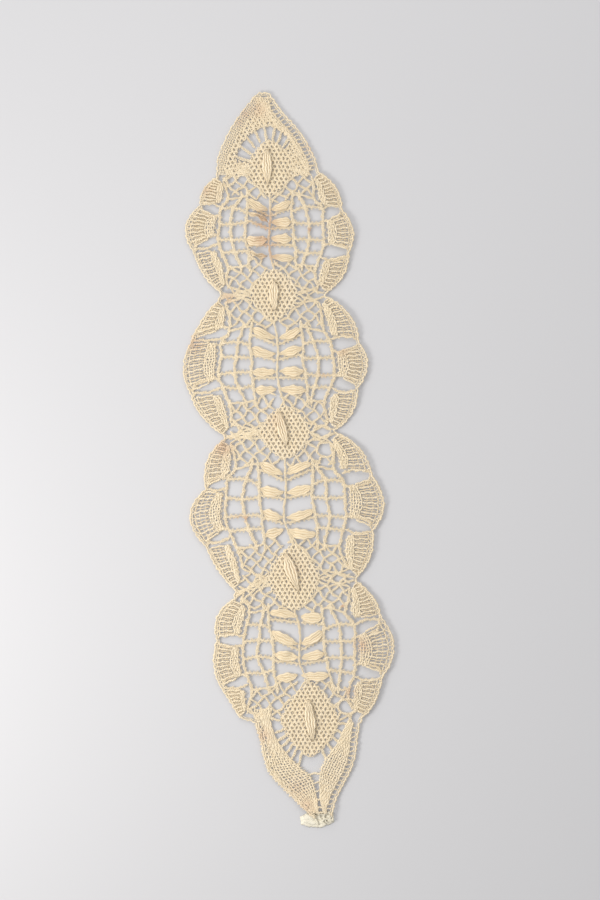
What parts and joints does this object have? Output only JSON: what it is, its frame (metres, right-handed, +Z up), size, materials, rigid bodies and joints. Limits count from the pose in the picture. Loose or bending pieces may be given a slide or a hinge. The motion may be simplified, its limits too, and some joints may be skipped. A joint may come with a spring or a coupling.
{
  "type": "lace collar",
  "caption": "Narrow bobbin lace collar laid flat: openwork lobes with leaves, fan edges, net diamonds and raised petals, with a folded tape end.",
  "frame": {"origin": "centre of the collar's outline, at the flat underside that rests on the table", "axes": "+Y along the collar towards its rounded end, away from the tape tab; +X across it; +Z up from the table"},
  "size_m": [0.098, 0.3688, 0.0037],
  "materials": {
    "ecru_thread": "matte",
    "white_tape": "matte"
  },
  "bodies": {
    "root": {"lace": "ecru_thread", "petal_1": "ecru_thread", "petal_2": "ecru_thread", "petal_3": "ecru_thread", "petal_4": "ecru_thread", "petal_5": "ecru_thread", "tape_tab": "white_tape"}
  },
  "joints": []
}
